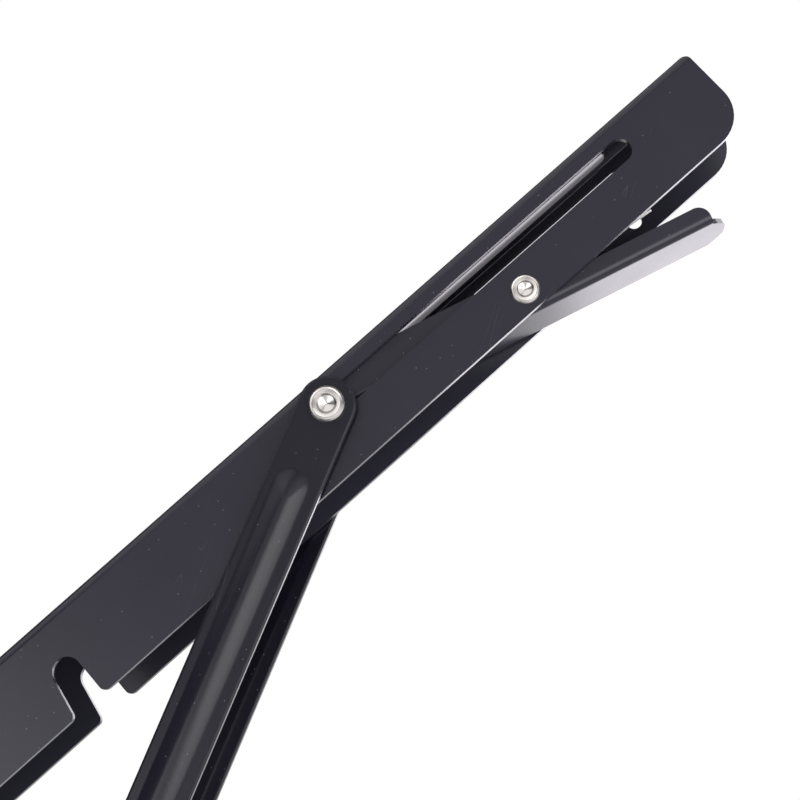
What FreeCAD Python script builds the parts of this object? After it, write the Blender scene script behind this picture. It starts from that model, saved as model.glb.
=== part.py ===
import FreeCAD, Part
import math
import os
import Sketcher

# Folding bracket for a drop leaf table, open and locked at a right angle.
# +X runs out from the wall along the arm, +Z is up, Y is the width.
# The origin is on the wall, level with the arm's pivot.

SIZES = {
    # the arm, a channel that is open downwards
    "arm_width": 30.0,
    "arm_height": 25.2,
    "arm_taper": 0.0035,
    "arm_sheet": 2.0,
    "arm_bend": 0.5,
    "arm_tip_reach": 133.7,
    "arm_rear_reach": 13.5,
    "arm_tip_corner": 10.0,
    "arm_top_corner": 2.5,
    "arm_rear_corner": 9.8,
    "slot_depth": 8.6,
    "slot_width": 6.6,
    "slot_spare": 4.9,
    "notch_radius": 4.0,
    "notch_flare": 10.0,
    "notch_lip": 1.9,
    "spring_hole": 4.3,
    "spring_hole_reach": 39.2,
    # the linkage, between pivot centres
    "pivot_out": 14.5,
    "pivot_depth": 15.4,
    "lower_pivot_drop": 78.2,
    "notch_to_pin": 96.3,
    # the wall bracket, a channel that is open away from the wall
    "wall_gap": 0.4,
    "wall_depth": 24.0,
    "wall_sheet": 2.0,
    "wall_bend": 0.5,
    "wall_height": 140.0,
    "wall_above": 12.6,
    "wall_top_corner": 9.4,
    "wall_foot_corner": 9.0,
    # screw holes in both webs
    "screw_hole": 5.5,
    "wall_screw_top": 32.6,
    "wall_screw_foot": 15.4,
    "arm_screw_rear": 29.5,
    "arm_screw_tip": 8.7,
    # the two strut strips and their pressed ribs
    "strut_gap": 1.5,
    "strut_width": 15.2,
    "strut_sheet": 2.0,
    "rib_width": 9.0,
    "rib_waist": 5.0,
    "rib_crown": 1.2,
    "rib_inset": 0.6,
    "rib_height": 1.3,
    "rib_shoulder": 0.8,
    "rib_offset": 0.4,
    "rib_reach": 23.2,
    "rib_waist_reach": 24.6,
    "rib_crown_reach": 27.0,
    # the release lever, a channel that is open upwards
    "lever_gap": 0.4,
    "lever_sheet": 1.5,
    "lever_bend": 0.6,
    "lever_tilt": 15.0,
    "lever_reach": 58.95,
    "lever_pivot_depth": 19.85,
    "lever_rise": 5.6,
    "lever_drop": 5.9,
    "lever_play": 0.45,
    "lever_web_start": 38.0,
    "handle_step": 9.0,
    "handle_step_run": 7.0,
    "handle_rise": 0.4,
    "handle_length": 52.5,
    "handle_corner": 3.4,
    "tongue_reach": 3.9,
    "tongue_nose": 8.0,
    "tongue_corner": 5.0,
    "stop_gap": 0.2,
    # rivets
    "pin_fit": 0.08,
    "pivot_pin": 8.0,
    "pivot_head": 12.0,
    "pivot_head_height": 1.8,
    "slot_pin": 6.4,
    "slot_head": 9.5,
    "slot_head_height": 1.9,
    "lower_pin": 5.0,
    "lever_pin": 5.0,
    "lever_head": 7.9,
    "lever_head_height": 1.2,
    "head_bevel": 0.5,
    "dimple_share": 0.275,
    "dimple_step": 0.25,
    "dimple_depth": 1.15,
    # washers, spacers and sleeves
    "side_play": 0.05,
    "core_play": 0.3,
    "washer_width": 12.4,
    "spacer_width": 7.5,
    "sleeve_wall": 1.0,
    # the torsion spring round the lever's rivet
    "wire": 1.0,
    "coil_radius": 3.9,
    "coil_turns": 4.0,
    "coil_pitch": 1.15,
    "coil_side_gap": 1.6,
    "arm_leg_tilt": 7.0,
    "arm_leg_length": 43.8,
    "lever_leg_length": 21.0,
}

# How far a cutting outline runs past what it cuts, and the coil's facets.
PAST = 5.0
COIL_STEP = 30.0
WIRE_SIDES = 8

doc = FreeCAD.newDocument("folding_bracket")
dims = doc.addObject("Spreadsheet::Sheet", "dims")
for row, (alias, size) in enumerate(SIZES.items(), start=1):
    dims.set(f"A{row}", alias.replace("_", " "))
    dims.set(f"B{row}", str(size))
    dims.setAlias(f"B{row}", alias)
doc.recompute()


def value(expression):
    """The number that an expression of the sheet's sizes gives."""
    return float(dims.evalExpression(expression))


# Lengths that follow from the driving sizes, written in the sheet's terms.
PIN_REACH = "(dims.lower_pivot_drop + dims.notch_to_pin)"
PIN_RISE = "(dims.pivot_depth - dims.slot_depth)"
STRUT_LENGTH = f"sqrt({PIN_REACH}^2 + (dims.lower_pivot_drop + {PIN_RISE})^2)"
FOLDED_REACH = f"(dims.lower_pivot_drop + sqrt({STRUT_LENGTH}^2 - {PIN_RISE}^2))"
ARM_TIP = f"({PIN_REACH} + dims.arm_tip_reach)"
ARM_SCREW_PITCH = f"(({ARM_TIP} - dims.arm_screw_tip - dims.arm_screw_rear) / 2)"
WALL_FOOT = "(dims.wall_above - dims.wall_height)"
WALL_SCREW_TOP = "(dims.wall_above - dims.wall_screw_top)"
WALL_SCREW_PITCH = "((dims.wall_height - dims.wall_screw_top - dims.wall_screw_foot) / 2)"
WALL_WIDTH = "(dims.arm_width - 2 * dims.arm_sheet - 2 * dims.wall_gap)"
LEVER_WIDTH = "(dims.arm_width - 2 * dims.arm_sheet - 2 * dims.lever_gap)"
LEVER_X = f"({PIN_REACH} + dims.lever_reach)"
LEVER_Z = "(dims.pivot_depth - dims.lever_pivot_depth)"
STRUT_INSIDE = "(dims.arm_width / 2 + dims.strut_gap)"
STRUT_OUTSIDE = f"({STRUT_INSIDE} + dims.strut_sheet)"
PIN_SPAN = "sqrt(dims.lever_reach^2 + (dims.lever_pivot_depth - dims.slot_depth)^2)"
LEVER_END = f"({PIN_SPAN} - dims.slot_pin / 2 - dims.lever_play)"


def arm_low(across):
    """The arm's lower edge at one place. It drops a little towards the wall."""
    return f"(dims.pivot_depth - dims.arm_height - dims.arm_taper * ({ARM_TIP} - ({across})))"


def add_body(label, base=(0, 0, 0), rotation=None):
    """An empty body with its own label, set at its place in the bracket."""
    body = doc.addObject("PartDesign::Body", label)
    body.Label = label
    turn = rotation if rotation is not None else FreeCAD.Rotation()
    body.Placement = FreeCAD.Placement(FreeCAD.Vector(*base), turn)
    return body


def add_sketch(body, name, plane, offset="0"):
    """A sketch on one of the body's own planes, moved along its normal."""
    sketch = body.newObject("Sketcher::SketchObject", f"{body.Label}_{name}")
    origin = [item for item in body.Origin.OriginFeatures if item.Role == plane]
    sketch.AttachmentSupport = [(origin[0], "")]
    sketch.MapMode = "FlatFace"
    sketch.setExpression("AttachmentOffset.Base.z", offset)
    return sketch


def fix_point(sketch, geometry, point, across, up):
    """Tie one point of the sketch to the sheet, across and up from its origin."""
    for kind, expression in (("DistanceX", across), ("DistanceY", up)):
        rule = Sketcher.Constraint(kind, -1, 1, geometry, point, value(expression))
        index = sketch.addConstraint(rule)
        name = f"{kind}_{geometry}_{point}"
        sketch.renameConstraint(index, name)
        sketch.setExpression(f"Constraints.{name}", expression)


def fix_radius(sketch, geometry, radius):
    index = sketch.addConstraint(Sketcher.Constraint("Radius", geometry, value(radius)))
    sketch.renameConstraint(index, f"Radius_{geometry}")
    sketch.setExpression(f"Constraints.Radius_{geometry}", radius)


def draw_outline(sketch, corners):
    """A closed outline. Each corner is (across, up) or (across, up, radius)."""
    first = sketch.GeometryCount
    count = len(corners)
    spots = [FreeCAD.Vector(value(c[0]), value(c[1]), 0) for c in corners]
    for i in range(count):
        sketch.addGeometry(Part.LineSegment(spots[i], spots[(i + 1) % count]), False)
    for i in range(count):
        following = first + (i + 1) % count
        sketch.addConstraint(Sketcher.Constraint("Coincident", first + i, 2, following, 1))
    for i, corner in enumerate(corners):
        fix_point(sketch, first + i, 1, corner[0], corner[1])
    for i, corner in enumerate(corners):
        if len(corner) == 3:
            before = (i - 1) % count
            near_before = spots[i] + (spots[before] - spots[i]) * 0.2
            near_after = spots[i] + (spots[(i + 1) % count] - spots[i]) * 0.2
            arc = sketch.GeometryCount
            sketch.fillet(first + before, first + i, near_before, near_after, value(corner[2]), True, True)
            fix_radius(sketch, arc, corner[2])


def draw_circle(sketch, across, up, radius):
    centre = FreeCAD.Vector(value(across), value(up), 0)
    circle = sketch.addGeometry(Part.Circle(centre, FreeCAD.Vector(0, 0, 1), value(radius)), False)
    fix_point(sketch, circle, 3, across, up)
    fix_radius(sketch, circle, radius)


def draw_long_hole(sketch, left, right, up, radius):
    """Two half circles, centred at left and right, joined by straight sides."""
    r = value(radius)
    z = value(up)
    ends = [value(left), value(right)]
    normal = FreeCAD.Vector(0, 0, 1)
    circles = [Part.Circle(FreeCAD.Vector(x, z, 0), normal, r) for x in ends]
    quarter = math.pi / 2
    arc_left = sketch.addGeometry(Part.ArcOfCircle(circles[0], quarter, 3 * quarter), False)
    bottom = sketch.addGeometry(
        Part.LineSegment(FreeCAD.Vector(ends[0], z - r, 0), FreeCAD.Vector(ends[1], z - r, 0)), False)
    arc_right = sketch.addGeometry(Part.ArcOfCircle(circles[1], 3 * quarter, 5 * quarter), False)
    top = sketch.addGeometry(
        Part.LineSegment(FreeCAD.Vector(ends[1], z + r, 0), FreeCAD.Vector(ends[0], z + r, 0)), False)
    chain = (arc_left, bottom, arc_right, top)
    for i in range(4):
        sketch.addConstraint(Sketcher.Constraint("Tangent", chain[i], 2, chain[(i + 1) % 4], 1))
    fix_point(sketch, arc_left, 3, left, up)
    fix_point(sketch, arc_right, 3, right, up)
    fix_radius(sketch, arc_left, radius)


def pad(body, sketch, length, reverse=False):
    feature = body.newObject("PartDesign::Pad", f"{sketch.Name}_pad")
    feature.Profile = sketch
    feature.setExpression("Length", length)
    feature.Reversed = reverse
    doc.recompute()
    return feature


def cut_through(body, sketch):
    """Cut a sketch's outline through the whole body, both ways."""
    feature = body.newObject("PartDesign::Pocket", f"{sketch.Name}_cut")
    feature.Profile = sketch
    feature.Type = "ThroughAll"
    feature.SideType = "Symmetric"
    doc.recompute()
    return feature


def revolve(body, sketch):
    """Turn a sketch on the XY plane round its upright axis, the body's Y."""
    feature = body.newObject("PartDesign::Revolution", f"{sketch.Name}_turn")
    feature.Profile = sketch
    feature.ReferenceAxis = (sketch, ["V_Axis"])
    feature.Angle = 360
    doc.recompute()
    return feature


def trim_to_side(body, name, corners, frame):
    """Keep only what lies inside a side outline. frame is low x, low z, high x, high z."""
    sketch = add_sketch(body, name, "XZ_Plane")
    low_x, low_z, high_x, high_z = frame
    past = f"{PAST}"
    draw_outline(sketch, [
        (f"{low_x} - {past}", f"{low_z} - {past}"),
        (f"{high_x} + {past}", f"{low_z} - {past}"),
        (f"{high_x} + {past}", f"{high_z} + {past}"),
        (f"{low_x} - {past}", f"{high_z} + {past}"),
    ])
    draw_outline(sketch, corners)
    return cut_through(body, sketch)


def cross_holes(body, name, holes):
    """Round holes across the width. Each is (x, z, diameter)."""
    sketch = add_sketch(body, name, "XZ_Plane")
    for across, up, width in holes:
        draw_circle(sketch, across, up, f"({width}) / 2")
    return cut_through(body, sketch)


def make_arm():
    """The channel that carries the table leaf: slots for the strut's pin in
    both sides, and a notch in each that passes the lower pivot when folded."""
    body = add_body("arm", (value("dims.pivot_out"), 0, 0))
    half = "dims.arm_width / 2"
    inner = "(dims.arm_width / 2 - dims.arm_sheet)"
    under = "(dims.pivot_depth - dims.arm_sheet)"
    outer_bend = "(dims.arm_bend + dims.arm_sheet)"
    rear_low = arm_low("-dims.arm_rear_reach")
    section = add_sketch(body, "section", "YZ_Plane", "-dims.arm_rear_reach")
    draw_outline(section, [
        (f"-{half}", rear_low),
        (f"-{half}", "dims.pivot_depth", outer_bend),
        (half, "dims.pivot_depth", outer_bend),
        (half, rear_low),
        (inner, rear_low),
        (inner, under, "dims.arm_bend"),
        (f"-{inner}", under, "dims.arm_bend"),
        (f"-{inner}", rear_low),
    ])
    pad(body, section, f"{ARM_TIP} + dims.arm_rear_reach")

    notch_right = "(dims.lower_pivot_drop + dims.notch_radius)"
    apex = "(dims.notch_radius / tan(dims.notch_flare / 2))"
    notch_low = arm_low(notch_right)
    notch_left = f"({notch_right} - ({apex} - {notch_low}) * tan(dims.notch_flare))"
    trim_to_side(body, "side", [
        ("-dims.arm_rear_reach", "dims.pivot_depth"),
        (ARM_TIP, "dims.pivot_depth", "dims.arm_top_corner"),
        (ARM_TIP, arm_low(ARM_TIP), "dims.arm_tip_corner"),
        (notch_right, notch_low, "dims.notch_lip"),
        (notch_right, apex, "dims.notch_radius"),
        (notch_left, notch_low, "dims.notch_lip"),
        ("-dims.arm_rear_reach", rear_low, "dims.arm_rear_corner"),
    ], ("-dims.arm_rear_reach", rear_low, ARM_TIP, "dims.pivot_depth"))

    slot = add_sketch(body, "slots", "XZ_Plane")
    draw_long_hole(slot, PIN_REACH, f"({FOLDED_REACH} + dims.slot_spare)", PIN_RISE, "dims.slot_width / 2")
    cut_through(body, slot)
    cross_holes(body, "rivet_holes", [
        ("0", "0", "dims.pivot_pin + 2 * dims.pin_fit"),
        (LEVER_X, LEVER_Z, "dims.lever_pin"),
    ])

    spring_hole = add_sketch(body, "spring_hole", "XZ_Plane")
    draw_circle(spring_hole, f"({LEVER_X} + dims.spring_hole_reach)", LEVER_Z, "dims.spring_hole / 2")
    one_side = body.newObject("PartDesign::Pocket", "arm_spring_hole_cut")
    one_side.Profile = spring_hole
    one_side.Type = "ThroughAll"
    doc.recompute()

    screws = add_sketch(body, "screws", "XY_Plane")
    for place in range(3):
        draw_circle(screws, f"dims.arm_screw_rear + {place} * {ARM_SCREW_PITCH}", "0", "dims.screw_hole / 2")
    cut_through(body, screws)
    return body


def make_wall_bracket():
    """The channel that is screwed to the wall. The arm turns outside it."""
    body = add_body("wall_bracket")
    half = f"{WALL_WIDTH} / 2"
    inner = f"({WALL_WIDTH} / 2 - dims.wall_sheet)"
    outer_bend = "(dims.wall_bend + dims.wall_sheet)"
    section = add_sketch(body, "section", "XY_Plane", WALL_FOOT)
    draw_outline(section, [
        ("dims.wall_depth", f"-{half}"),
        ("0", f"-{half}", outer_bend),
        ("0", half, outer_bend),
        ("dims.wall_depth", half),
        ("dims.wall_depth", inner),
        ("dims.wall_sheet", inner, "dims.wall_bend"),
        ("dims.wall_sheet", f"-{inner}", "dims.wall_bend"),
        ("dims.wall_depth", f"-{inner}"),
    ])
    pad(body, section, "dims.wall_height")
    trim_to_side(body, "side", [
        ("0", "dims.wall_above"),
        ("dims.wall_depth", "dims.wall_above", "dims.wall_top_corner"),
        ("dims.wall_depth", WALL_FOOT, "dims.wall_foot_corner"),
        ("0", WALL_FOOT),
    ], ("0", WALL_FOOT, "dims.wall_depth", "dims.wall_above"))
    cross_holes(body, "rivet_holes", [
        ("dims.pivot_out", "0", "dims.pivot_pin"),
        ("dims.pivot_out", "-dims.lower_pivot_drop", "dims.lower_pin"),
    ])
    screws = add_sketch(body, "screws", "YZ_Plane")
    for place in range(3):
        draw_circle(screws, "0", f"{WALL_SCREW_TOP} - {place} * {WALL_SCREW_PITCH}", "dims.screw_hole / 2")
    cut_through(body, screws)
    return body


def make_strut(label, side):
    """One of the two struts, side 1 on the right and -1 on the left. It lies
    along its own -X from the slot's pin, with a long rib pressed outwards. The
    rib is soft at its ends, and lies a little above the strip's middle."""
    base = (value(f"dims.pivot_out + {PIN_REACH}"), 0, value(PIN_RISE))
    slope = value(f"atan((dims.lower_pivot_drop + {PIN_RISE}) / {PIN_REACH})")
    body = add_body(label, base, FreeCAD.Rotation(FreeCAD.Vector(0, 1, 0), -slope))
    outline = add_sketch(body, "outline", "XZ_Plane", f"{side} * {STRUT_INSIDE}")
    draw_long_hole(outline, f"-{STRUT_LENGTH}", "0", "0", "dims.strut_width / 2")
    pad(body, outline, "dims.strut_sheet", reverse=side < 0)

    domed = [
        ("foot", "0", "dims.rib_reach", "dims.rib_width / 2"),
        ("waist", "dims.rib_shoulder", "dims.rib_waist_reach", "dims.rib_waist / 2"),
        ("crown", "dims.rib_height", "dims.rib_crown_reach", "dims.rib_crown / 2"),
    ]
    hollow = [
        ("foot", "0", "dims.rib_waist_reach", "(dims.rib_width - dims.rib_inset) / 2"),
        ("crown", "dims.rib_height", "dims.rib_waist_reach", "(dims.rib_crown - dims.rib_inset) / 2"),
    ]
    for kind, sheet_face, levels in (
            ("AdditiveLoft", STRUT_OUTSIDE, domed), ("SubtractiveLoft", STRUT_INSIDE, hollow)):
        sketches = []
        for name, height, reach, radius in levels:
            sketch = add_sketch(body, f"{kind}_{name}", "XZ_Plane", f"{side} * ({sheet_face} + {height})")
            draw_long_hole(sketch, f"{reach} - {STRUT_LENGTH}", f"-{reach}", "dims.rib_offset", radius)
            sketches.append(sketch)
        doc.recompute()
        loft = body.newObject(f"PartDesign::{kind}", f"{label}_{kind}")
        loft.Profile = sketches[0]
        loft.Sections = sketches[1:]
        doc.recompute()

    fit = "2 * dims.pin_fit"
    cross_holes(body, "rivet_holes", [
        ("0", "0", f"dims.slot_pin + {fit}"),
        (f"-{STRUT_LENGTH}", "0", "dims.lower_pin"),
    ])
    return body


def make_lever():
    """The release lever. Its inner end stands in front of the slot's pin and
    keeps the strut from sliding; squeezing the handle to the arm frees the pin."""
    base = (value(f"dims.pivot_out + {LEVER_X}"), 0, value(LEVER_Z))
    tilt = FreeCAD.Rotation(FreeCAD.Vector(0, 1, 0), value("dims.lever_tilt"))
    body = add_body("release_lever", base, tilt)
    half = f"{LEVER_WIDTH} / 2"
    inner = f"({LEVER_WIDTH} / 2 - dims.lever_sheet)"
    floor = "(dims.lever_sheet - dims.lever_drop)"
    outer_bend = "(dims.lever_bend + dims.lever_sheet)"
    section = add_sketch(body, "section", "YZ_Plane", f"-{LEVER_END}")
    draw_outline(section, [
        (f"-{half}", "dims.lever_rise"),
        (f"-{half}", "-dims.lever_drop", outer_bend),
        (half, "-dims.lever_drop", outer_bend),
        (half, "dims.lever_rise"),
        (inner, "dims.lever_rise"),
        (inner, floor, "dims.lever_bend"),
        (f"-{inner}", floor, "dims.lever_bend"),
        (f"-{inner}", "dims.lever_rise"),
    ])
    pad(body, section, f"{LEVER_END} + dims.handle_length")

    # The inner end's top is cut level with the arm, and stops against its web.
    stop = "(dims.lever_pivot_depth - dims.arm_sheet - dims.stop_gap)"
    stop_at_rise = f"(({stop} - dims.lever_rise * cos(dims.lever_tilt)) / sin(dims.lever_tilt))"
    stop_at_end = f"(({stop} - {LEVER_END} * sin(dims.lever_tilt)) / cos(dims.lever_tilt))"
    trim_to_side(body, "side", [
        (f"-{LEVER_END}", "-dims.lever_drop"),
        ("dims.handle_length", "-dims.lever_drop"),
        ("dims.handle_length", "-dims.handle_rise", "dims.handle_corner"),
        ("dims.handle_step + dims.handle_step_run", "-dims.handle_rise", "dims.handle_corner"),
        ("dims.handle_step", "dims.lever_rise", "dims.handle_corner"),
        (f"-{stop_at_rise}", "dims.lever_rise"),
        (f"-{LEVER_END}", stop_at_end),
    ], (f"-{LEVER_END}", "-dims.lever_drop", "dims.handle_length", "dims.lever_rise"))

    tongue = add_sketch(body, "tongue", "XY_Plane", "-dims.lever_drop")
    edge = f"({half} - {outer_bend})"
    draw_outline(tongue, [
        ("0", f"-{edge}"),
        ("dims.handle_length", f"-{edge}", "dims.tongue_corner"),
        ("(dims.handle_length + dims.tongue_reach)", "-dims.tongue_nose / 2", "dims.tongue_corner"),
        ("(dims.handle_length + dims.tongue_reach)", "dims.tongue_nose / 2", "dims.tongue_corner"),
        ("dims.handle_length", edge, "dims.tongue_corner"),
        ("0", edge),
    ])
    pad(body, tongue, "dims.lever_sheet")

    mouth = add_sketch(body, "web_mouth", "XY_Plane")
    draw_outline(mouth, [
        (f"-{LEVER_END} - {PAST}", f"-{inner}"),
        ("-dims.lever_web_start", f"-{inner}", "dims.lever_head / 2"),
        ("-dims.lever_web_start", inner, "dims.lever_head / 2"),
        (f"-{LEVER_END} - {PAST}", inner),
    ])
    cut_through(body, mouth)
    cross_holes(body, "rivet_hole", [("0", "0", "dims.lever_pin + 2 * dims.pin_fit")])
    return body


def head_profile(seat, face, shaft, head, side, formed):
    """Half the outline of a rivet's head, from its seat on the sheet to the
    point of the cone pressed into its face. side is "" or "-". A formed head
    has a bevelled rim and a step round the cone; the others are plain."""
    face_at = f"({seat} + {face})"
    rim = [(f"{head} / 2", f"{side}{face_at}")]
    mouth = [(f"{head} * dims.dimple_share", f"{side}{face_at}")]
    if formed:
        rim = [
            (f"{head} / 2", f"{side}({face_at} - dims.head_bevel)"),
            (f"{head} / 2 - dims.head_bevel", f"{side}{face_at}"),
        ]
        mouth.append((f"{head} * dims.dimple_share", f"{side}({face_at} - dims.dimple_step)"))
    return [
        (f"{shaft} / 2", f"{side}({seat})"),
        (f"{head} / 2", f"{side}({seat})"),
        *rim,
        *mouth,
        ("0", f"{side}({face_at} - dims.dimple_depth)"),
    ]


def make_through_rivet(label, base, seat, face, shaft, head, formed):
    """A rivet across the bracket, with a head on each side."""
    body = add_body(label, base)
    sketch = add_sketch(body, "profile", "XY_Plane")
    upper = head_profile(seat, face, shaft, head, "", formed)
    lower = head_profile(seat, face, shaft, head, "-", formed)
    draw_outline(sketch, upper + lower[::-1])
    revolve(body, sketch)
    return body


def make_tube(label, base, start, end, bore, width):
    """A washer, spacer or sleeve on a cross axis, from start to end along Y."""
    body = add_body(label, base)
    sketch = add_sketch(body, "profile", "XY_Plane")
    draw_outline(sketch, [
        (f"({bore}) / 2", start),
        (f"({width}) / 2", start),
        (f"({width}) / 2", end),
        (f"({bore}) / 2", end),
    ])
    revolve(body, sketch)
    return body


def make_slot_rivet(base):
    """The rivet that slides in the arm's slots. Its shaft is left open on each
    side where the lever's sides pass, and runs on between them."""
    ends = []
    lever_inside = f"({LEVER_WIDTH} / 2 - dims.lever_sheet)"
    for side, name in (("", "left"), ("-", "right")):
        body = add_body(f"slot_rivet_{name}_end", base)
        sketch = add_sketch(body, "profile", "XY_Plane")
        seat = f"({STRUT_OUTSIDE} + dims.side_play)"
        corners = head_profile(seat, "dims.slot_head_height", "dims.slot_pin", "dims.slot_head", side, True)
        inside = f"{side}({LEVER_WIDTH} / 2 + dims.lever_gap / 2)"
        corners = corners + [("0", inside), ("dims.slot_pin / 2", inside)]
        draw_outline(sketch, corners)
        revolve(body, sketch)
        ends.append(body)
    core = add_body("slot_rivet_core", base)
    sketch = add_sketch(core, "profile", "XY_Plane")
    reach = f"({lever_inside} - dims.core_play)"
    draw_outline(sketch, [
        ("0", f"-{reach}"),
        ("dims.slot_pin / 2", f"-{reach}"),
        ("dims.slot_pin / 2", reach),
        ("0", reach),
    ])
    revolve(core, sketch)
    rivet = doc.addObject("Part::Compound", "slot_rivet")
    rivet.Label = "slot_rivet"
    rivet.Links = ends + [core]
    doc.recompute()
    return rivet


def make_lower_rivet_end(label, base, side):
    """One end of the lower pivot's rivet: its head and the stub in the strip."""
    body = add_body(label, base)
    sketch = add_sketch(body, "profile", "XY_Plane")
    seat = f"({STRUT_OUTSIDE} + dims.side_play)"
    corners = head_profile(seat, "dims.slot_head_height", "dims.lower_pin", "dims.slot_head", side, False)
    inside = f"{side}{STRUT_INSIDE}"
    draw_outline(sketch, corners + [("0", inside), ("dims.lower_pin / 2", inside)])
    revolve(body, sketch)
    return body


def make_spring(base):
    """A torsion spring: a coil round the lever's rivet, with one leg out along
    the arm's left side and one on the lever's web. The wire is one sweep."""
    radius = value("dims.coil_radius")
    pitch = value("dims.coil_pitch")
    side = value(f"{LEVER_WIDTH} / 2 - dims.lever_sheet - dims.coil_side_gap - dims.wire / 2")
    leave = math.radians(value("dims.arm_leg_tilt"))
    arrive = math.radians(value("dims.lever_tilt")) - math.pi - value("dims.coil_turns") * 2 * math.pi
    steps = round((leave - arrive) / math.radians(COIL_STEP))

    path = []
    for i in range(steps + 1):
        angle = leave + (arrive - leave) * i / steps
        inward = pitch * (leave - angle) / (2 * math.pi)
        path.append(FreeCAD.Vector(radius * math.sin(angle), side - inward, radius * math.cos(angle)))
    arm_way = FreeCAD.Vector(math.cos(leave), 0, -math.sin(leave))
    lever_way = FreeCAD.Vector(-math.cos(arrive), 0, math.sin(arrive))
    path.insert(0, path[0] + arm_way * value("dims.arm_leg_length"))
    path.append(path[-1] + lever_way * value("dims.lever_leg_length"))

    rim = []
    for i in range(WIRE_SIDES):
        turn = FreeCAD.Rotation(arm_way, 360 / WIRE_SIDES * i)
        rim.append(path[0] + turn.multVec(FreeCAD.Vector(0, value("dims.wire / 2"), 0)))
    profile = Part.makePolygon(rim + rim[:1])
    sharp_turns = 1
    spring = doc.addObject("Part::Feature", "lever_spring")
    spring.Label = "lever_spring"
    spring.Shape = Part.makePolygon(path).makePipeShell([profile], True, False, sharp_turns)
    spring.Placement = FreeCAD.Placement(FreeCAD.Vector(*base), FreeCAD.Rotation())
    return spring


pivot = (value("dims.pivot_out"), 0, 0)
lower = (value("dims.pivot_out"), 0, value("-dims.lower_pivot_drop"))
pin = (value(f"dims.pivot_out + {PIN_REACH}"), 0, value(PIN_RISE))
lever_pivot = (value(f"dims.pivot_out + {LEVER_X}"), 0, value(LEVER_Z))

arm_side = "dims.arm_width / 2"
wall_side = f"{WALL_WIDTH} / 2"
wall_inside = f"({WALL_WIDTH} / 2 - dims.wall_sheet - dims.side_play)"
lever_inside = f"({LEVER_WIDTH} / 2 - dims.lever_sheet - dims.side_play)"

pieces = [
    make_wall_bracket(),
    make_arm(),
    make_strut("strut_right", 1),
    make_strut("strut_left", -1),
    make_lever(),
    make_through_rivet("arm_pivot_rivet", pivot, f"{arm_side} + dims.side_play",
                       "dims.pivot_head_height", "dims.pivot_pin", "dims.pivot_head", False),
    make_through_rivet("lever_rivet", lever_pivot, arm_side,
                       "dims.lever_head_height", "dims.lever_pin", "dims.lever_head", True),
    make_slot_rivet(pin),
    make_tube("arm_pivot_sleeve", pivot, f"-{wall_inside}", wall_inside,
              "dims.pivot_pin", "dims.pivot_pin + 2 * dims.sleeve_wall"),
    make_tube("lower_pivot_sleeve", lower, f"-{wall_inside}", wall_inside,
              "dims.lower_pin", "dims.lower_pin + 2 * dims.sleeve_wall"),
    make_tube("lever_sleeve", lever_pivot, f"-{lever_inside}", lever_inside,
              "dims.lever_pin", "dims.lever_pin + dims.sleeve_wall"),
    make_tube("lower_rivet_shaft", lower, f"-({STRUT_INSIDE} - 2 * dims.side_play)",
              f"{STRUT_INSIDE} - 2 * dims.side_play", "0", "dims.lower_pin"),
    make_spring(lever_pivot),
]
for side, name in (("", "left"), ("-", "right")):
    pieces.append(make_lower_rivet_end(f"lower_rivet_{name}_end", lower, side))
    pieces.append(make_tube(
        f"lower_spacer_{name}", lower, f"{side}({wall_side})", f"{side}({STRUT_INSIDE} - 2 * dims.side_play)",
        "dims.lower_pin", "dims.spacer_width"))
    pieces.append(make_tube(
        f"slot_washer_{name}", pin, f"{side}({arm_side} + dims.side_play)",
        f"{side}({STRUT_INSIDE} - dims.side_play)", "dims.slot_pin", "dims.washer_width"))

doc.recompute()
for item in doc.Objects:
    faults = [state for state in item.State if state in ("Invalid", "Error")]
    if faults:
        raise RuntimeError(f"{item.Label} is {faults}")
for piece in pieces:
    if piece.Shape.isNull() or not piece.Shape.isValid():
        raise RuntimeError(f"{piece.Label} has no valid shape")

os.makedirs("parts", exist_ok=True)
for piece in pieces:
    piece.Shape.exportStep(f"parts/{piece.Label}.step")
    print(f"{piece.Label}: {len(piece.Shape.Solids)} solids, {piece.Shape.Volume:.0f} cubic mm")
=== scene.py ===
import math
import bpy
from mathutils import Euler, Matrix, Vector

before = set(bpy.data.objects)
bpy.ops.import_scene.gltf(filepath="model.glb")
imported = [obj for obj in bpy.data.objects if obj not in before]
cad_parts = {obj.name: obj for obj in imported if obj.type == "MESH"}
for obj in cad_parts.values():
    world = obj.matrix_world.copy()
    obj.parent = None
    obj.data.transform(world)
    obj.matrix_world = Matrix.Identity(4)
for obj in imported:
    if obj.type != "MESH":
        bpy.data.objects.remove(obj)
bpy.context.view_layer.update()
print("frame loaded:", len(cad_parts), "nodes")


def addNode(tree, kind, x=0, y=0, **settings):
    node = tree.nodes.new(kind)
    node.location = (x, y)
    for name, setting in settings.items():
        setattr(node, name, setting)
    return node


def addMath(tree, operation, x, y, second=None):
    # the second number is given only where no other node gives it
    node = addNode(tree, "ShaderNodeMath", x, y, operation=operation)
    if second is not None:
        node.inputs[1].default_value = second
    return node


def setInputs(node, values):
    for name, setting in values.items():
        node.inputs[name].default_value = setting
    return node


def join(tree, *pairs):
    # each pair is (node, its output), (node, its input). A new link takes the place of an input's old one
    for (source, out), (target, into) in pairs:
        tree.links.new(source.outputs[out], target.inputs[into])


def rampStops(node, stops):
    # stops: (place, grey) from the ramp's start to its end
    ramp = node.color_ramp
    for element, (place, grey) in zip(ramp.elements, (stops[0], stops[-1])):
        element.position = place
        element.color = (grey, grey, grey, 1)
    for place, grey in stops[1:-1]:
        element = ramp.elements.new(place)
        element.color = (grey, grey, grey, 1)


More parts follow.
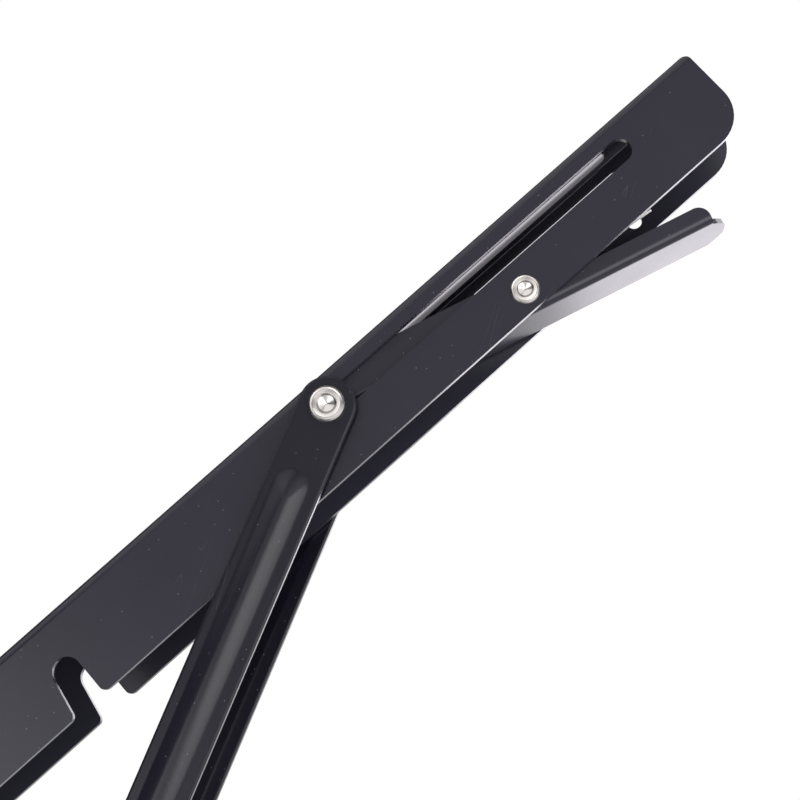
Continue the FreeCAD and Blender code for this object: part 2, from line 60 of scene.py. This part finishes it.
def mixColours(tree, x, y, first, second, blend="MIX"):
    # a colour that another node gives is passed as None
    node = addNode(tree, "ShaderNodeMix", x, y, data_type="RGBA", blend_type=blend)
    for name, colour in (("A", first), ("B", second)):
        if colour is not None:
            node.inputs[name].default_value = (*colour, 1)
    return node


def multiplyColours(tree, x, y):
    return setInputs(mixColours(tree, x, y, None, None, "MULTIPLY"), {"Factor": 1.0})


def newGroup(name, inputs, outputs):
    # inputs: each label with the number or vector that it starts at. Every output is a number
    group = bpy.data.node_groups.new(name, "ShaderNodeTree")
    for label, start in inputs.items():
        kind = "NodeSocketVector" if isinstance(start, tuple) else "NodeSocketFloat"
        group.interface.new_socket(label, in_out="INPUT", socket_type=kind).default_value = start
    for label in outputs:
        group.interface.new_socket(label, in_out="OUTPUT", socket_type="NodeSocketFloat")
    return group, addNode(group, "NodeGroupInput", -900), addNode(group, "NodeGroupOutput", 900)


grainLook = {
    "peel": {"Detail": 2.0, "Roughness": 0.5},
    "cloud": {"Scale": 60.0, "Detail": 3.0, "Roughness": 0.55},
}


def makeFinishGrain():
    # the skin's fine orange peel, and the slow change of its sheen and tone from place to place
    group, start, end = newGroup(
        "finishGrain",
        {"Peel Size": 2200.0, "Roughness Low": 0.3, "Roughness High": 0.4},
        ["Height", "Roughness", "Cloud"])
    place = addNode(group, "ShaderNodeTexCoord", -700)
    peel = setInputs(addNode(group, "ShaderNodeTexNoise", -400, 200), grainLook["peel"])
    cloud = setInputs(addNode(group, "ShaderNodeTexNoise", -400, -200), grainLook["cloud"])
    spread = addNode(group, "ShaderNodeMapRange", 200, -200)
    join(group,
         ((place, "Object"), (peel, "Vector")), ((start, "Peel Size"), (peel, "Scale")),
         ((place, "Object"), (cloud, "Vector")), ((cloud, "Fac"), (spread, "Value")),
         ((start, "Roughness Low"), (spread, "To Min")), ((start, "Roughness High"), (spread, "To Max")),
         ((peel, "Fac"), (end, "Height")), ((spread, "Result"), (end, "Roughness")),
         ((cloud, "Fac"), (end, "Cloud")))
    return group


def makeDustSpecks():
    # specks of dust, each a small dot in its own cell, in a share of the cells
    group, start, end = newGroup(
        "dustSpecks",
        {"Cell Count": 170.0, "Speck Size": 0.03, "Share": 0.1},
        ["Mask"])
    place = addNode(group, "ShaderNodeTexCoord", -700)
    cells = addNode(group, "ShaderNodeTexVoronoi", -400)
    chosen = addNode(group, "ShaderNodeSeparateColor", -150, -150)
    near = addMath(group, "LESS_THAN", 50, 150)
    rare = addMath(group, "LESS_THAN", 50, -150)
    both = addMath(group, "MULTIPLY", 300, 0)
    join(group,
         ((place, "Object"), (cells, "Vector")), ((start, "Cell Count"), (cells, "Scale")),
         ((cells, "Distance"), (near, 0)), ((start, "Speck Size"), (near, 1)),
         ((cells, "Color"), (chosen, "Color")), ((chosen, "Red"), (rare, 0)), ((start, "Share"), (rare, 1)),
         ((near, "Value"), (both, 0)), ((rare, "Value"), (both, 1)), ((both, "Value"), (end, "Mask")))
    return group


scratchLook = {
    "turn": (0, 0.55, 0),
    "lines": {"Scale": 1.0, "Detail": 0.0},
    "lineLevel": 0.5,
    "patches": {"Scale": 45.0, "Detail": 1.0},
}


def makeFineScratches():
    # a few hairlines, found where a long stretched noise crosses its middle value
    group, start, end = newGroup(
        "fineScratches",
        {"Stretch": (14.0, 40.0, 260.0), "Width": 0.004, "Patches": 0.6},
        ["Mask"])
    place = addNode(group, "ShaderNodeTexCoord", -700)
    turn = setInputs(addNode(group, "ShaderNodeMapping", -550), {"Rotation": scratchLook["turn"]})
    stretch = addNode(group, "ShaderNodeVectorMath", -380, operation="MULTIPLY")
    lines = setInputs(addNode(group, "ShaderNodeTexNoise", -200), scratchLook["lines"])
    thin = addMath(group, "COMPARE", 100, 0, scratchLook["lineLevel"])
    patches = setInputs(addNode(group, "ShaderNodeTexNoise", -200, -250), scratchLook["patches"])
    inPatch = addMath(group, "GREATER_THAN", 100, -250)
    both = addMath(group, "MULTIPLY", 400, 0)
    join(group,
         ((place, "Object"), (turn, "Vector")), ((turn, "Vector"), (stretch, 0)),
         ((start, "Stretch"), (stretch, 1)), ((stretch, "Vector"), (lines, "Vector")),
         ((lines, "Fac"), (thin, 0)), ((start, "Width"), (thin, 2)),
         ((place, "Object"), (patches, "Vector")), ((patches, "Fac"), (inPatch, 0)),
         ((start, "Patches"), (inPatch, 1)), ((thin, "Value"), (both, 0)), ((inPatch, "Value"), (both, 1)),
         ((both, "Value"), (end, "Mask")))
    return group


# the stops run from the axis of a rivet's head, 0, to its rim, 1. The shade stops are painted shade: darker
# rings in the colour where the head's grooves and rim fall in shade
ringLook = {
    "depth": 0.00025,
    "paintedShadeStops": [(0.0, 1.0), (0.43, 0.95), (0.48, 0.28), (0.54, 0.42), (0.62, 0.95), (0.74, 1.0),
                   (0.79, 0.62), (0.84, 0.86), (0.95, 1.0), (1.0, 0.80)],
    "heightStops": [(0.0, 0.5), (0.48, 0.5), (0.60, 0.9), (0.72, 0.6), (0.80, 0.35), (0.90, 0.75),
                    (1.0, 0.2)],
}


def makeHeadRings():
    # the rings round the axis of a rivet's head, which lies along Y: a bump for the ridges that the forming
    # die leaves, and painted shade, darker rings in the colour, for its grooves and rim
    group, start, end = newGroup(
        "headRings",
        {"Centre": (0.0, 0.0, 0.0), "Head Radius": 0.005},
        ["Shade", "Height"])
    place = addNode(group, "ShaderNodeTexCoord", -750)
    away = addNode(group, "ShaderNodeVectorMath", -600, operation="SUBTRACT")
    flat = addNode(group, "ShaderNodeVectorMath", -450, operation="MULTIPLY")
    flat.inputs[1].default_value = (1.0, 0.0, 1.0)  # leaves out the distance along the axis
    reach = addNode(group, "ShaderNodeVectorMath", -300, operation="LENGTH")
    share = addMath(group, "DIVIDE", -150, 0)
    shade = addNode(group, "ShaderNodeValToRGB", 100, 150)
    height = addNode(group, "ShaderNodeValToRGB", 100, -150)
    rampStops(shade, ringLook["paintedShadeStops"])
    rampStops(height, ringLook["heightStops"])
    join(group,
         ((place, "Object"), (away, 0)), ((start, "Centre"), (away, 1)),
         ((away, "Vector"), (flat, 0)), ((flat, "Vector"), (reach, 0)),
         ((reach, "Value"), (share, 0)), ((start, "Head Radius"), (share, 1)),
         ((share, "Value"), (shade, "Fac")), ((share, "Value"), (height, "Fac")),
         ((shade, "Color"), (end, "Shade")), ((height, "Color"), (end, "Height")))
    return group


def makeChannelInside():
    # where a folded channel's inside is, between its sides and under its web, and where its web's underside
    # is, with the height of a slight bow there that starts beside a flat middle, at a slight fold
    group, start, end = newGroup(
        "channelInside",
        {"Half Width": 0.013, "Web Height": 0.014, "Web Start": 0.013, "Flat Half": 0.0014, "Fold": 0.004},
        ["Mask", "Web", "Bow"])
    place = addNode(group, "ShaderNodeTexCoord", -700)
    parts = addNode(group, "ShaderNodeSeparateXYZ", -500)
    across = addMath(group, "ABSOLUTE", -300, 100)
    between = addMath(group, "LESS_THAN", -100, 100)
    below = addMath(group, "LESS_THAN", -100, -100)
    both = addMath(group, "MULTIPLY", 200, 0)
    high = addMath(group, "GREATER_THAN", 200, -400)
    web = addMath(group, "MULTIPLY", 400, -300)
    beside = addMath(group, "SUBTRACT", -100, -550)
    past = addMath(group, "MAXIMUM", 50, -550, 0.0)
    steeper = addMath(group, "ADD", 200, -600)
    bow = addMath(group, "MULTIPLY", 400, -550)
    join(group,
         ((place, "Object"), (parts, "Vector")), ((parts, "Y"), (across, 0)),
         ((across, "Value"), (between, 0)), ((start, "Half Width"), (between, 1)),
         ((parts, "Z"), (below, 0)), ((start, "Web Height"), (below, 1)),
         ((between, "Value"), (both, 0)), ((below, "Value"), (both, 1)), ((both, "Value"), (end, "Mask")),
         ((parts, "Z"), (high, 0)), ((start, "Web Start"), (high, 1)),
         ((both, "Value"), (web, 0)), ((high, "Value"), (web, 1)), ((web, "Value"), (end, "Web")),
         ((across, "Value"), (beside, 0)), ((start, "Flat Half"), (beside, 1)),
         ((beside, "Value"), (past, 0)), ((past, "Value"), (steeper, 0)), ((start, "Fold"), (steeper, 1)),
         ((past, "Value"), (bow, 0)), ((steeper, "Value"), (bow, 1)), ((bow, "Value"), (end, "Bow")))
    return group


finishGrain = makeFinishGrain()
dustSpecks = makeDustSpecks()
fineScratches = makeFineScratches()
headRings = makeHeadRings()
channelInside = makeChannelInside()
print("surface effects made")


def placeGroup(tree, group, x, y, values):
    return setInputs(addNode(tree, "ShaderNodeGroup", x, y, node_tree=group), values)


def newMaterial(name):
    material = bpy.data.materials.new(name)
    material.use_nodes = True
    return material, material.node_tree, material.node_tree.nodes["Principled BSDF"]


def makeSkin(name, look):
    # what every finish here has: a tone that drifts, an uneven sheen and a fine peel
    material, tree, shader = newMaterial(name)
    grain = placeGroup(tree, finishGrain, -900, -100, {
        "Peel Size": look["peelSize"],
        "Roughness Low": look["roughness"][0],
        "Roughness High": look["roughness"][1],
    })
    tone = mixColours(tree, -600, 250, look["dark"], look["light"])
    bump = setInputs(addNode(tree, "ShaderNodeBump", -300, -300),
                     {"Strength": look["peelStrength"], "Distance": look["peelDepth"]})
    join(tree,
         ((grain, "Cloud"), (tone, "Factor")), ((tone, "Result"), (shader, "Base Color")),
         ((grain, "Roughness"), (shader, "Roughness")), ((grain, "Height"), (bump, "Height")),
         ((bump, "Normal"), (shader, "Normal")))
    return material, tree, shader, grain, tone, bump


coatLook = {
    "dark": (0.0104, 0.0093, 0.0180),
    "light": (0.0158, 0.0142, 0.0280),
    "roughness": (0.21, 0.28),
    "peelSize": 2600.0,
    "peelStrength": 0.08,
    "peelDepth": 0.00002,
    "dust": {"Cell Count": 420.0, "Speck Size": 0.05, "Share": 0.75},
    "dustColour": (0.20, 0.20, 0.21),
    "scratches": {"Stretch": (30.0, 60.0, 300.0), "Width": 0.0035, "Patches": 0.63},
    "scratchColour": (0.034, 0.031, 0.038),
}

# the arm's channel is painted paler inside, as painted light for the light the inside catches, and is smooth
# and slightly bowed under its web
armLook = {
    **coatLook,
    "channel": {"Half Width": 0.0132, "Web Height": 0.0141, "Web Start": 0.0130,
                "Flat Half": 0.0014, "Fold": 0.004},
    "paintedLightInsideColour": (0.031, 0.030, 0.043),
    "webRoughness": 0.09,
    "webBow": 12.0,
}

# the struts' coat is painted darker than the arm's, as painted shade, and is a little glossier. Their flats
# are duller than the rubbed ribs and cut edges, which stand away from the flats' plane at flatAt, in metres
# from the middle of the bracket
strutLook = {
    **coatLook,
    # painted shade: the struts' colour is darker than the coat's
    "dark": (0.0075, 0.0068, 0.0128),
    "light": (0.0120, 0.0108, 0.0190),
    "roughness": (0.19, 0.25),
    "ribSoftness": 0.0013,
    "flatAt": 0.0185,
    "ribSheen": {"From Min": 0.0001, "From Max": 0.0009, "To Min": 0.0, "To Max": 0.34},
    "skin": {"Specular IOR Level": 0.33, "Coat Roughness": 0.22},
}


def finishRibs(tree, shader, bump, look):
    # pressed ribs rise and fall away softly, and shine more than the flats beside them
    softened = setInputs(addNode(tree, "ShaderNodeBevel", -500, -600, samples=8),
                         {"Radius": look["ribSoftness"]})
    place = addNode(tree, "ShaderNodeTexCoord", -1100, -900)
    parts = addNode(tree, "ShaderNodeSeparateXYZ", -900, -900)
    across = addMath(tree, "ABSOLUTE", -700, -900)
    away = addMath(tree, "SUBTRACT", -500, -900, look["flatAt"])
    apart = addMath(tree, "ABSOLUTE", -300, -900)
    sheen = setInputs(addNode(tree, "ShaderNodeMapRange", -100, -900), look["ribSheen"])
    setInputs(shader, look["skin"])
    join(tree,
         ((softened, "Normal"), (bump, "Normal")), ((place, "Object"), (parts, "Vector")),
         ((parts, "Y"), (across, 0)), ((across, "Value"), (away, 0)), ((away, "Value"), (apart, 0)),
         ((apart, "Value"), (sheen, "Value")), ((sheen, "Result"), (shader, "Coat Weight")))


def finishInside(tree, shader, grain, colour, bump, look):
    # inside a channel the colour is painted paler, as painted light, and has no peel, and under the web it
    # mirrors the room in a stripe
    inside = placeGroup(tree, channelInside, -900, 500, look["channel"])
    # painted light: the inside of the channel is coloured paler than the coat
    lit = mixColours(tree, 0, 250, None, look["paintedLightInsideColour"])
    smooth = setInputs(addNode(tree, "ShaderNodeMix", -200, -50), {"B": look["webRoughness"]})
    plain = setInputs(addNode(tree, "ShaderNodeMapRange", -500, -450),
                      {"To Min": look["peelStrength"], "To Max": 0.0})
    bowed = setInputs(addNode(tree, "ShaderNodeBump", -100, -450), {"Distance": look["webBow"]})
    join(tree,
         ((inside, "Mask"), (lit, "Factor")), ((colour, "Result"), (lit, "A")),
         ((lit, "Result"), (shader, "Base Color")), ((inside, "Web"), (smooth, "Factor")),
         ((grain, "Roughness"), (smooth, "A")), ((smooth, "Result"), (shader, "Roughness")),
         ((inside, "Mask"), (plain, "Value")), ((plain, "Result"), (bump, "Strength")),
         ((inside, "Web"), (bowed, "Strength")), ((inside, "Bow"), (bowed, "Height")),
         ((bump, "Normal"), (bowed, "Normal")), ((bowed, "Normal"), (shader, "Normal")))


def makeCoat(name, look):
    # black electro-coated sheet steel: a dark violet-grey coat with a satin skin, hairlines and dust
    material, tree, shader, grain, tone, bump = makeSkin(name, look)
    dust = placeGroup(tree, dustSpecks, -900, -350, look["dust"])
    scratches = placeGroup(tree, fineScratches, -900, -600, look["scratches"])
    scratched = mixColours(tree, -400, 200, None, look["scratchColour"])
    dusted = mixColours(tree, -200, 150, None, look["dustColour"])
    join(tree,
         ((tone, "Result"), (scratched, "A")), ((scratches, "Mask"), (scratched, "Factor")),
         ((scratched, "Result"), (dusted, "A")), ((dust, "Mask"), (dusted, "Factor")),
         ((dusted, "Result"), (shader, "Base Color")))
    if "ribSheen" in look:
        finishRibs(tree, shader, bump, look)
    if "channel" in look:
        finishInside(tree, shader, grain, dusted, bump, look)
    return material


rivetLook = {
    "dark": (0.74, 0.69, 0.655),
    "light": (0.93, 0.885, 0.85),
    "roughness": (0.18, 0.32),
    "peelSize": 1500.0,
    "peelStrength": 0.35,
    "peelDepth": 0.00003,
}
slotHeadLook = {**rivetLook, "head": {"Centre": (0.189, 0, 0.0068), "Head Radius": 0.00475}}
leverHeadLook = {**rivetLook, "head": {"Centre": (0.24795, 0, -0.00445), "Head Radius": 0.004}}
wireLook = {
    "dark": (0.80, 0.78, 0.76),
    "light": (0.94, 0.92, 0.90),
    "roughness": (0.32, 0.42),
    "peelSize": 3000.0,
    "peelStrength": 0.2,
    "peelDepth": 0.00002,
}


def makePlating(name, look):
    # bright plating on rivets, or drawn wire: metal with soft handling marks, and on a formed head rings of
    # painted shade in the colour
    material, tree, shader, grain, tone, bump = makeSkin(name, look)
    setInputs(shader, {"Metallic": 1.0})
    if "head" in look:
        rings = placeGroup(tree, headRings, -900, 500, look["head"])
        # painted shade: the head's colour is darkened in rings
        shaded = multiplyColours(tree, -200, 300)
        pressed = setInputs(addNode(tree, "ShaderNodeBump", -50, -300),
                            {"Strength": 1.0, "Distance": ringLook["depth"]})
        join(tree,
             ((tone, "Result"), (shaded, "A")), ((rings, "Shade"), (shaded, "B")),
             ((shaded, "Result"), (shader, "Base Color")), ((rings, "Height"), (pressed, "Height")),
             ((bump, "Normal"), (pressed, "Normal")), ((pressed, "Normal"), (shader, "Normal")))
    return material


blackCoat = makeCoat("blackCoat", coatLook)
armCoat = makeCoat("armCoat", armLook)
shadedStrutCoat = makeCoat("shadedStrutCoat", strutLook)
rivetPlating = makePlating("rivetPlating", rivetLook)
slotHeadPlating = makePlating("slotHeadPlating", slotHeadLook)
leverHeadPlating = makePlating("leverHeadPlating", leverHeadLook)
springWire = makePlating("springWire", wireLook)
print("materials made")

# node: (material, width of its rounded edges in metres)
pieceLooks = {
    "wall_bracket": (blackCoat, 0.0002),
    "arm": (armCoat, 0.0002),
    "strut_left": (shadedStrutCoat, 0.0003),
    "strut_right": (shadedStrutCoat, 0.0003),
    "release_lever": (blackCoat, 0.0002),
    "arm_pivot_rivet": (rivetPlating, 0.0004),
    "lever_rivet": (leverHeadPlating, 0.0001),
    "slot_rivet": (slotHeadPlating, 0.0001),
    "lower_rivet_shaft": (rivetPlating, 0.0),
    "lower_rivet_left_end": (rivetPlating, 0.0004),
    "lower_rivet_right_end": (rivetPlating, 0.0004),
    "lower_spacer_left": (rivetPlating, 0.00015),
    "lower_spacer_right": (rivetPlating, 0.00015),
    "slot_washer_left": (rivetPlating, 0.00015),
    "slot_washer_right": (rivetPlating, 0.00015),
    "arm_pivot_sleeve": (rivetPlating, 0.00015),
    "lower_pivot_sleeve": (rivetPlating, 0.00015),
    "lever_sleeve": (rivetPlating, 0.00015),
    "lever_spring": (springWire, 0.0),
}
edgeLook = {"segments": 3, "angle": 28}


def dressNode(name, material, rounding):
    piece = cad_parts[name]
    piece.data.materials.clear()
    piece.data.materials.append(material)
    if rounding > 0:
        bevel = piece.modifiers.new("roundedEdges", "BEVEL")
        bevel.width = rounding
        bevel.segments = edgeLook["segments"]
        bevel.limit_method = "ANGLE"
        bevel.angle_limit = math.radians(edgeLook["angle"])
        bevel.harden_normals = True
        bevel.use_clamp_overlap = True


for name, (material, rounding) in pieceLooks.items():
    dressNode(name, material, rounding)
print("pieces dressed:", len(pieceLooks))

room = {
    "floorHeight": -0.75,
    "floorSize": 6.0,
    "floorColour": (0.80, 0.80, 0.81),
    "floorRoughness": 0.8,
    "floorGlow": 0.42,
    "softLight": (0.95, 0.95, 1.0),
    "softStrength": 0.60,
    "darkTowards": (-0.05, -0.35, 0.94),
    "mirrorStops": [(0.0, 1.0), (0.35, 1.0), (0.54, 0.70), (0.78, 0.14), (1.0, 0.07)],
    "ceilingStops": [(0.0, 1.0), (0.27, 1.0), (0.42, 0.30), (1.0, 0.2)],
}


def addToScene(name, data):
    item = bpy.data.objects.new(name, data)
    bpy.context.scene.collection.objects.link(item)
    return item


def makeFloor():
    # pale and diffuse. A little glow that only the camera sees lifts it to white round the shadow
    half = room["floorSize"] / 2
    plan = ((-half, -half), (half, -half), (half, half), (-half, half))
    corners = [(x, y, room["floorHeight"]) for x, y in plan]
    mesh = bpy.data.meshes.new("floor")
    mesh.from_pydata(corners, [], [(0, 1, 2, 3)])
    floor = addToScene("floor", mesh)
    material, tree, shader = newMaterial("paleFloor")
    setInputs(shader, {"Base Color": (*room["floorColour"], 1), "Roughness": room["floorRoughness"],
                       "Emission Color": (1, 1, 1, 1)})
    path = addNode(tree, "ShaderNodeLightPath", -600)
    glow = addMath(tree, "MULTIPLY", -300, 0, room["floorGlow"])
    join(tree, ((path, "Is Camera Ray"), (glow, 0)), ((glow, "Value"), (shader, "Emission Strength")))
    mesh.materials.append(material)


def makeWorld():
    # the camera sees white, and shiny parts a white room that is dark above and behind the camera. The
    # rest gets soft light
    world = bpy.data.worlds.new("studio")
    bpy.context.scene.world = world
    world.use_nodes = True
    tree = world.node_tree
    tree.nodes.clear()
    path = addNode(tree, "ShaderNodeLightPath", -700, 300)
    seen = addMath(tree, "MAXIMUM", -450, 300)
    through = addMath(tree, "MAXIMUM", -250, 300)
    place = addNode(tree, "ShaderNodeTexCoord", -900, -100)
    darkSide = addNode(tree, "ShaderNodeVectorMath", -650, -100, operation="DOT_PRODUCT")
    darkSide.inputs[1].default_value = Vector(room["darkTowards"]).normalized()
    shade = addNode(tree, "ShaderNodeValToRGB", -400, -100)
    rampStops(shade, room["mirrorStops"])
    parts = addNode(tree, "ShaderNodeSeparateXYZ", -650, -400)
    ceiling = addNode(tree, "ShaderNodeValToRGB", -400, -400)
    rampStops(ceiling, room["ceilingStops"])
    shaded = multiplyColours(tree, 50, -100)
    backdrop = mixColours(tree, 150, 0, None, (1, 1, 1))
    white = setInputs(addNode(tree, "ShaderNodeBackground", 300, 150), {"Strength": 1.0})
    soft = setInputs(addNode(tree, "ShaderNodeBackground", 300, -250),
                     {"Color": (*room["softLight"], 1), "Strength": room["softStrength"]})
    choose = addNode(tree, "ShaderNodeMixShader", 700)
    out = addNode(tree, "ShaderNodeOutputWorld", 900)
    join(tree,
         ((path, "Is Camera Ray"), (seen, 0)), ((path, "Is Glossy Ray"), (seen, 1)),
         ((seen, "Value"), (through, 0)), ((path, "Is Transmission Ray"), (through, 1)),
         ((place, "Generated"), (darkSide, 0)), ((darkSide, "Value"), (shade, "Fac")),
         ((place, "Generated"), (parts, "Vector")), ((parts, "Z"), (ceiling, "Fac")),
         ((shade, "Color"), (shaded, "A")), ((ceiling, "Color"), (shaded, "B")),
         ((path, "Is Camera Ray"), (backdrop, "Factor")), ((shaded, "Result"), (backdrop, "A")),
         ((backdrop, "Result"), (white, "Color")), ((through, "Value"), (choose, "Fac")),
         ((soft, "Background"), (choose, 1)), ((white, "Background"), (choose, 2)),
         ((choose, "Shader"), (out, "Surface")))


lampAim = (0.17, 0, -0.03)
lamps = [
    {"name": "topSoftbox", "place": (0.45, -0.5, 1.1), "size": 1.8, "power": 10.0, "colour": (1, 1, 1)},
    {"name": "lowSoftbox", "place": (0.42, -0.66, -0.42), "size": 0.6, "power": 2.5, "colour": (1, 1, 1)},
    {"name": "leftSoftbox", "place": (-0.38, -1.0, 0.18), "size": 0.5, "power": 1.3, "colour": (1, 1, 1)},
    {"name": "backSoftbox", "place": (1.02, 1.35, -0.30), "size": 1.6, "power": 16.0,
     "colour": (0.97, 0.91, 1.0)},
]


def makeLamp(look):
    light = bpy.data.lights.new(look["name"], "AREA")
    light.shape = "SQUARE"
    light.size = look["size"]
    light.energy = look["power"]
    light.color = look["colour"]
    lamp = addToScene(look["name"], light)
    lamp.location = look["place"]
    way = Vector(lampAim) - lamp.location
    lamp.rotation_euler = way.to_track_quat("-Z", "Y").to_euler()
    lamp.visible_camera = False


# place in metres, turn in degrees, lens and sensor in millimetres
view = {
    "place": (0.17953, -0.49692, -0.10692),
    "turn": (105.970, 40.953, 7.710),
    "lens": 84.95,
    "sensor": 36,
    "nearest": 0.01,
}


def makeCamera():
    camera = addToScene("camera", bpy.data.cameras.new("camera"))
    camera.location = view["place"]
    camera.rotation_euler = Euler([math.radians(angle) for angle in view["turn"]])
    camera.data.lens = view["lens"]
    camera.data.sensor_width = view["sensor"]
    camera.data.clip_start = view["nearest"]
    bpy.context.scene.camera = camera


makeFloor()
makeWorld()
for look in lamps:
    makeLamp(look)
makeCamera()
bpy.context.scene.view_settings.view_transform = "Standard"
print("room, light and camera set")
